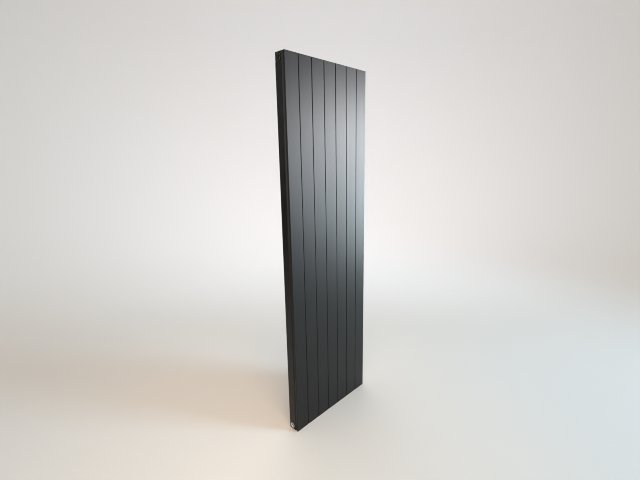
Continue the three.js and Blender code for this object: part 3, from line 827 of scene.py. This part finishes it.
BRASS = bare_metal("turned_brass", (0.62, 0.44, 0.19), 0.3, 0.00002)
RUBBER = rubber("seal_rubber")
for end, direction in (("bottom", 1), ("top", -1)):
    collector_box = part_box(f"collector_{end}")
    inward, outward = (0, 1) if end == "bottom" else (1, 0)
    face = collector_box[outward][2]
    for number in ELEMENTS:
        nipple_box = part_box(f"nipple_{end}_{number}")
        gasket_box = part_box(f"gasket_{end}_{number}")
        x = (nipple_box[0][0] + nipple_box[1][0]) / 2
        y = (nipple_box[0][1] + nipple_box[1][1]) / 2
        collar = (nipple_box[1][0] - nipple_box[0][0]) / 2
        foot = (nipple_box[inward][2] - face) * direction
        tip = (nipple_box[outward][2] - face) * direction
        seal_from = (gasket_box[inward][2] - face) * direction
        seal_to = (gasket_box[outward][2] - face) * direction
        collar_from = seal_to + EASE
        collar_to = COUNTERBORE_HEIGHT - (collector_box[1][2] - collector_box[0][2]) - EASE
        profile = [
            (NIPPLE_SLEEVE - EASE, foot),
            (NIPPLE_SLEEVE, foot + EASE),
            (NIPPLE_SLEEVE, collar_from),
            (collar - EASE, collar_from),
            (collar, collar_from + EASE),
            (collar, collar_to - EASE),
            (collar - EASE, collar_to),
            (NIPPLE_SLEEVE, collar_to),
            (NIPPLE_SLEEVE, tip - EASE),
            (NIPPLE_SLEEVE - EASE, tip),
            (NIPPLE_BORE + EASE, tip),
            (NIPPLE_BORE, tip - EASE),
            (NIPPLE_BORE, foot + EASE),
            (NIPPLE_BORE + EASE, foot),
        ]
        nipple = upright_turned(f"brass_nipple_{end}_{number}", x, y, face, direction, profile, BRASS)
        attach(nipple, ROOT)
        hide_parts(f"nipple_{end}_{number}")
        outer = (gasket_box[1][0] - gasket_box[0][0]) / 2
        section = washer_section(NIPPLE_SLEEVE + EASE, outer, seal_from, seal_to)
        washer = upright_turned(f"rubber_gasket_{end}_{number}", x, y, face, direction, section, RUBBER)
        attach(washer, ROOT)
        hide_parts(f"gasket_{end}_{number}")

# ------------------------------------------------------------------------------------------------------------
# Flow diverter: a pressed aluminium plate across the inside of the bottom collector, with a small weep hole.
# It sends the water up the first element.

RIM_ROUND = 0.002
WEEP_RADIUS = 0.0015
low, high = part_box("flow_diverter")
turn = np.linspace(0, 2 * math.pi, 24, endpoint=False)
middle_y, middle_z = (low[1] + high[1]) / 2, (low[2] + high[2]) / 2
weep = np.stack([middle_y + WEEP_RADIUS * np.cos(turn), middle_z + WEEP_RADIUS * np.sin(turn)], axis=-1)
outline = square(low[1:], high[1:], RIM_ROUND)
diverter = bar("diverter_plate", outline, [weep], low[0], high[0], along_x, RAW_ALUMINIUM, ease=EASE)
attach(diverter, ROOT)
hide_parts("flow_diverter")

# ------------------------------------------------------------------------------------------------------------
# Blanking plug, top left: a turned plug with a hexagon head and a hexagon socket, coated black, screwed down
# on a rubber ring. The vent at the right stands on the same kind of ring.

FLANGE_FROM = 0.0018
FLANGE_TO = 0.0034
FLANGE_RADIUS = 0.0138
PLUG_THREAD = 0.0092
PLUG_TIP = -0.011
TIP_CHAMFER = 0.0012
TIP_LEAD = 0.0006
THREAD_RELIEF = 0.0012
RING_THICKNESS = 0.0022
HEAD_TOP = 0.008
HEAD_FLATS = 0.017
HEAD_CHAMFER = 0.0012
HEAD_TOP_SHARE = 0.97
CHAMFER_ANGLE = 30
SOCKET_FLATS = 0.0078
SOCKET_DEPTH = 0.003
SOCKET_POINT = 0.0008
top_bush_low, top_bush_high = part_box("bush_top_left")
TOP_Z = (top_bush_low[2] + top_bush_high[2]) / 2


def hexagon(flats):
    """Radius of a hexagon at each angle: half its width across flats over the cosine of the angle off the
    nearest flat's middle."""
    return flats / 2 / np.cos((TURN + math.pi / 6) % (math.pi / 3) - math.pi / 6)


def shank_rows():
    """The threaded shank, from above its chamfered tip to below the flange."""
    return thread_rows(PLUG_THREAD, -THREAD_DEPTH, PLUG_TIP + TIP_LEAD, FLANGE_FROM - THREAD_RELIEF)


def flange_rows():
    """The round flange that presses on the seal ring."""
    return rows(
        (PLUG_THREAD, FLANGE_FROM),
        (FLANGE_RADIUS - EASE, FLANGE_FROM),
        (FLANGE_RADIUS, FLANGE_FROM + EASE),
        (FLANGE_RADIUS, FLANGE_TO - EASE),
        (FLANGE_RADIUS - EASE, FLANGE_TO),
    )


def seal_ring(name, node, side):
    """A ring whose section is a flattened circle: r = middle + reach cos b, h = middle + reach sin b."""
    low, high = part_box(node)
    outer = (high[1] - low[1]) / 2
    inner = outer - RING_THICKNESS
    near = min(abs(low[0]), abs(high[0])) - BUSH_FACE_X
    far = max(abs(low[0]), abs(high[0])) - BUSH_FACE_X
    around = np.linspace(0, 2 * math.pi, 20, endpoint=False)
    radius = (outer + inner) / 2 + (outer - inner) / 2 * np.cos(around)
    height = (near + far) / 2 + (far - near) / 2 * np.sin(around)
    ring = turned(name, side, TOP_Z, rows(*zip(radius, height)), RUBBER, closed=True)
    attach(ring, ROOT)
    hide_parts(node)


def black_fitting(name):
    """Black electrophoretic coat on turned brass: smooth and satin, a little browner in soft patches."""
    coat = Finish(name, base_color=(0.012, 0.012, 0.012, 1), roughness=0.34, metallic=0.0)
    cloud = coat.noise(180, detail=3.0)
    coat.vary(Base_Color=coat.mix(cloud, (0.009, 0.009, 0.009, 1), (0.018, 0.016, 0.014, 1)))
    coat.vary(Roughness=0.3 + cloud * 0.12)
    coat.bump(coat.noise(1500, detail=1.0), distance=0.00001, strength=0.5)
    return coat


BLACK_FITTING = black_fitting("black_coated_brass")
seal_ring("plug_seal_ring", "plug_o_ring", -1)
head_rows = [(hexagon(HEAD_FLATS), FLANGE_TO)]
for drop in np.linspace(HEAD_CHAMFER, 0, 7):
    cone = HEAD_FLATS / 2 * HEAD_TOP_SHARE + drop / math.tan(math.radians(CHAMFER_ANGLE))
    head_rows.append((np.minimum(hexagon(HEAD_FLATS), cone), HEAD_TOP - drop))
socket = hexagon(SOCKET_FLATS)
profile = rows((0, PLUG_TIP), (PLUG_THREAD - TIP_CHAMFER, PLUG_TIP))
profile += shank_rows() + flange_rows() + rows(*head_rows)
profile += rows(
    (socket + EASE, HEAD_TOP),
    (socket, HEAD_TOP - EASE),
    (socket, HEAD_TOP - SOCKET_DEPTH),
    (0, HEAD_TOP - SOCKET_DEPTH - SOCKET_POINT),
)
plug = turned("hexagon_blanking_plug", -1, TOP_Z, profile, BLACK_FITTING)
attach(plug, ROOT)
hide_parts("blanking_plug")

# ------------------------------------------------------------------------------------------------------------
# Air vent, top right: a black body screwed into the bush, a brass bleed screw with a slotted square head sunk
# in it, and a black plastic ring round it whose small spout can be turned to where the water should run.

BOSS_RADIUS = 0.0065
BOSS_TOP = 0.0074
RECESS_RADIUS = 0.0044
RECESS_FLOOR = 0.0034
SCREW_BORE = 0.0031
SCREW_RADIUS = 0.003
SCREW_PITCH = 0.001
SCREW_HEAD = 0.005
SCREW_SHANK = 0.008
SCREW_TIP = 0.002
SCREW_THREAD_DEPTH = 0.0004
SCREW_RELIEF = 0.001
SLOT_REACH = 0.004
SLOT_WIDTH = 0.001
SLOT_DEPTH = 0.001
SPOUT_INNER = 0.00663
SPOUT_OUTER = 0.0088
NOZZLE_RADIUS = 0.0014
NOZZLE_BORE = 0.0007
NOZZLE_ROOT = 0.001
NOZZLE_CHAMFER = 0.0002
NOZZLE_STRAIGHT_SHARE = 0.2
NOZZLE_END_SHARE = 0.82
NOZZLE_MOUTH_SHARE = 0.74

seal_ring("vent_seal_ring", "vent_o_ring", 1)
profile = rows((SCREW_BORE, PLUG_TIP), (PLUG_THREAD - TIP_CHAMFER, PLUG_TIP))
profile += shank_rows() + flange_rows()
profile += rows(
    (BOSS_RADIUS, FLANGE_TO),
    (BOSS_RADIUS, BOSS_TOP - EASE),
    (BOSS_RADIUS - EASE, BOSS_TOP),
    (RECESS_RADIUS + EASE, BOSS_TOP),
    (RECESS_RADIUS, BOSS_TOP - EASE),
    (RECESS_RADIUS, RECESS_FLOOR),
    (SCREW_BORE, RECESS_FLOOR),
)
vent = turned("vent_body_black", 1, TOP_Z, profile, BLACK_FITTING, closed=True)
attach(vent, ROOT)
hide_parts("vent_body")


def soft_square(side, power=14):
    """Radius of a square with slightly round corners: half the side over a power mean of cosine and sine."""
    mean = np.abs(np.cos(TURN)) ** power + np.abs(np.sin(TURN)) ** power
    return side / 2 / mean ** (1 / power)


head_from = RECESS_FLOOR + EASE
head = soft_square(SCREW_HEAD)
shank_from = head_from - SCREW_SHANK
profile = rows((0, shank_from - SCREW_TIP), (SCREW_RADIUS / 3, shank_from - SCREW_TIP))
shank_to = head_from - SCREW_RELIEF
profile += thread_rows(SCREW_RADIUS, -SCREW_THREAD_DEPTH, shank_from, shank_to, pitch=SCREW_PITCH)
profile += rows(
    (SCREW_RADIUS, head_from),
    (head - EASE, head_from),
    (head, head_from + EASE),
    (head, HEAD_TOP - EASE),
    (head - EASE, HEAD_TOP),
    (0, HEAD_TOP),
)
screw = turned("slotted_bleed_screw", 1, TOP_Z, profile, BRASS)
slot_x = BUSH_FACE_X + HEAD_TOP
slot_corners = np.array([(-1, -1), (1, -1), (1, 1), (-1, 1)]) * (SLOT_REACH, SLOT_WIDTH / 2)
slot_outline = slot_corners + (AXIS_Y, TOP_Z)
slot = bar("slot", slot_outline, [], slot_x - SLOT_DEPTH, slot_x + SLOT_DEPTH, along_x, BRASS)
drilled(screw, [slot])
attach(screw, "bleed_screw")
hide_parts("bleed_screw")


def moulded_plastic(name):
    """Black moulded nylon: matt, with a fine spark-eroded grain."""
    nylon = Finish(name, base_color=(0.02, 0.02, 0.021, 1), roughness=0.55)
    grain = nylon.noise(2200, detail=2.0)
    nylon.vary(Roughness=0.48 + grain * 0.14)
    nylon.bump(grain, distance=0.00002, strength=0.6)
    return nylon


PLASTIC = moulded_plastic("black_nylon")
spout_from = FLANGE_TO + EASE
profile = rows(
    (SPOUT_OUTER - EASE, spout_from),
    (SPOUT_OUTER, spout_from + EASE),
    (SPOUT_OUTER, BOSS_TOP - EASE),
    (SPOUT_OUTER - EASE, BOSS_TOP),
    (SPOUT_INNER + EASE, BOSS_TOP),
    (SPOUT_INNER, BOSS_TOP - EASE),
    (SPOUT_INNER, spout_from + EASE),
    (SPOUT_INNER + EASE, spout_from),
)
ring = turned("ring", 1, TOP_Z, profile, PLASTIC, closed=True)
nozzle_x = BUSH_FACE_X + (spout_from + BOSS_TOP) / 2
nozzle_top = TOP_Z - SPOUT_OUTER
nozzle_length = nozzle_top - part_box("vent_spout")[0][2]
profile = [
    (NOZZLE_RADIUS, -NOZZLE_ROOT),
    (NOZZLE_RADIUS, nozzle_length * NOZZLE_STRAIGHT_SHARE),
    (NOZZLE_RADIUS * NOZZLE_END_SHARE, nozzle_length - NOZZLE_CHAMFER),
    (NOZZLE_RADIUS * NOZZLE_MOUTH_SHARE, nozzle_length),
    (NOZZLE_BORE, nozzle_length),
    (NOZZLE_BORE, -NOZZLE_ROOT),
]
nozzle = upright_turned("nozzle", nozzle_x, AXIS_Y, nozzle_top, -1, profile, PLASTIC)
spout = join_pieces("turning_vent_spout", ring, nozzle)
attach(spout, "vent_spout")
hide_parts("vent_spout")
